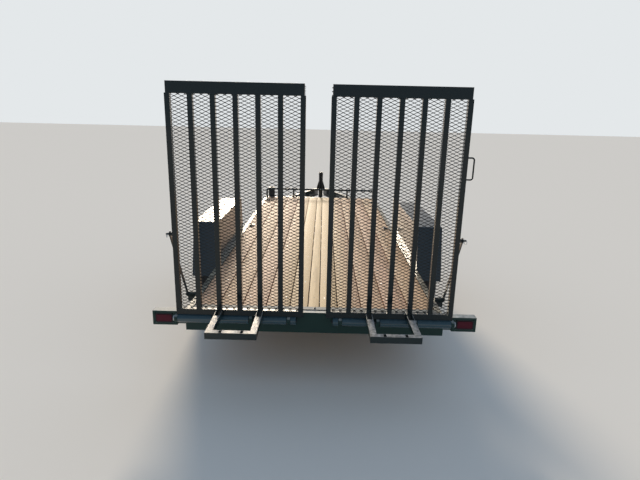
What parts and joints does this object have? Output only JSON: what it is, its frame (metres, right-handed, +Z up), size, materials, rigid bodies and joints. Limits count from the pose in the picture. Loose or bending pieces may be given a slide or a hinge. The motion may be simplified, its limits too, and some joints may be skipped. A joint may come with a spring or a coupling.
{
  "type": "equipment trailer",
  "caption": "Tandem-axle flatbed equipment trailer with a timber deck, steel fenders and two upright mesh ramp gates.",
  "frame": {"origin": "on the ground, under the centre of the whole trailer's box", "axes": "+Y forwards to the hitch, +X to the trailer's right, +Z up"},
  "size_m": [2.591, 7.305, 2.351],
  "materials": {
    "frame_paint": "gloss black powder coat",
    "ramp_paint": "gloss black powder coat",
    "deck_timber": "treated pine, rough sawn",
    "tyre": "road tyre rubber",
    "rim_paint": "silver wheel enamel",
    "hub_iron": "cast hub and drum",
    "axle_paint": "satin black",
    "spring_steel": "satin black",
    "pin_zinc": "zinc plated",
    "jack_paint": "gloss black",
    "coupler_paint": "satin black",
    "box_plastic": "black moulded plastic",
    "lamp_red": "red lens"
  },
  "bodies": {
    "chassis": {"side_rail_left": "frame_paint", "side_rail_right": "frame_paint", "rear_sill": "frame_paint", "front_sill": "frame_paint", "crossmembers": "frame_paint", "deck_boards": "deck_timber", "board_retainer": "frame_paint", "tongue_left": "frame_paint", "tongue_right": "frame_paint", "tongue_plate": "frame_paint", "coupler": "coupler_paint", "jack_housing": "jack_paint", "bump_rail": "frame_paint", "corner_box": "box_plastic", "fender_left": "frame_paint", "fender_right": "frame_paint", "tail_lamps": "lamp_red", "hinge_pins": "pin_zinc", "axle_rear": "axle_paint", "axle_front": "axle_paint", "leaf_springs": "spring_steel", "spring_hangers": "axle_paint", "equalizers": "spring_steel", "tie_rings": "pin_zinc"},
    "wheel_rear_left": {"tyre_rear_left": "tyre", "rim_rear_left": "rim_paint", "hub_rear_left": "hub_iron"},
    "wheel_rear_right": {"tyre_rear_right": "tyre", "rim_rear_right": "rim_paint", "hub_rear_right": "hub_iron"},
    "wheel_front_left": {"tyre_front_left": "tyre", "rim_front_left": "rim_paint", "hub_front_left": "hub_iron"},
    "wheel_front_right": {"tyre_front_right": "tyre", "rim_front_right": "rim_paint", "hub_front_right": "hub_iron"},
    "ramp_left": {"ramp_left_frame": "ramp_paint", "ramp_left_mesh": "ramp_paint", "ramp_left_foot": "ramp_paint"},
    "ramp_right": {"ramp_right_frame": "ramp_paint", "ramp_right_mesh": "ramp_paint", "ramp_right_foot": "ramp_paint", "ramp_right_handle": "ramp_paint"},
    "brace_left_arm": {"brace_left": "frame_paint"},
    "brace_right_arm": {"brace_right": "frame_paint"},
    "jack_inner": {"jack_leg": "pin_zinc"}
  },
  "joints": [
    {"name": "wheel_rear_left_spin", "type": "hinge", "parent": "chassis", "child": "wheel_rear_left", "pos_m": [-1.172, -1.608, 0.391], "axis": [1, 0, 0], "continuous": true},
    {"name": "wheel_rear_right_spin", "type": "hinge", "parent": "chassis", "child": "wheel_rear_right", "pos_m": [1.172, -1.608, 0.391], "axis": [1, 0, 0], "continuous": true},
    {"name": "wheel_front_left_spin", "type": "hinge", "parent": "chassis", "child": "wheel_front_left", "pos_m": [-1.172, -0.757, 0.391], "axis": [1, 0, 0], "continuous": true},
    {"name": "wheel_front_right_spin", "type": "hinge", "parent": "chassis", "child": "wheel_front_right", "pos_m": [1.172, -0.757, 0.391], "axis": [1, 0, 0], "continuous": true},
    {"name": "ramp_left_fold", "type": "hinge", "parent": "chassis", "child": "ramp_left", "pos_m": [-0.6, -3.2525, 0.552], "axis": [1, 0, 0], "range_deg": [0, 107.5]},
    {"name": "ramp_right_fold", "type": "hinge", "parent": "chassis", "child": "ramp_right", "pos_m": [0.6, -3.2525, 0.552], "axis": [1, 0, 0], "range_deg": [0, 107.5]},
    {"name": "brace_left_swing", "type": "hinge", "parent": "chassis", "child": "brace_left_arm", "pos_m": [-1.116, -2.8475, 0.6], "axis": [1, 0, 0], "range_deg": [-118, 0]},
    {"name": "brace_right_swing", "type": "hinge", "parent": "chassis", "child": "brace_right_arm", "pos_m": [1.116, -2.8475, 0.6], "axis": [1, 0, 0], "range_deg": [-118, 0]},
    {"name": "jack_slide", "type": "slide", "parent": "chassis", "child": "jack_inner", "axis": [0, 0, 1], "range_m": [0, 0.33]}
  ]
}
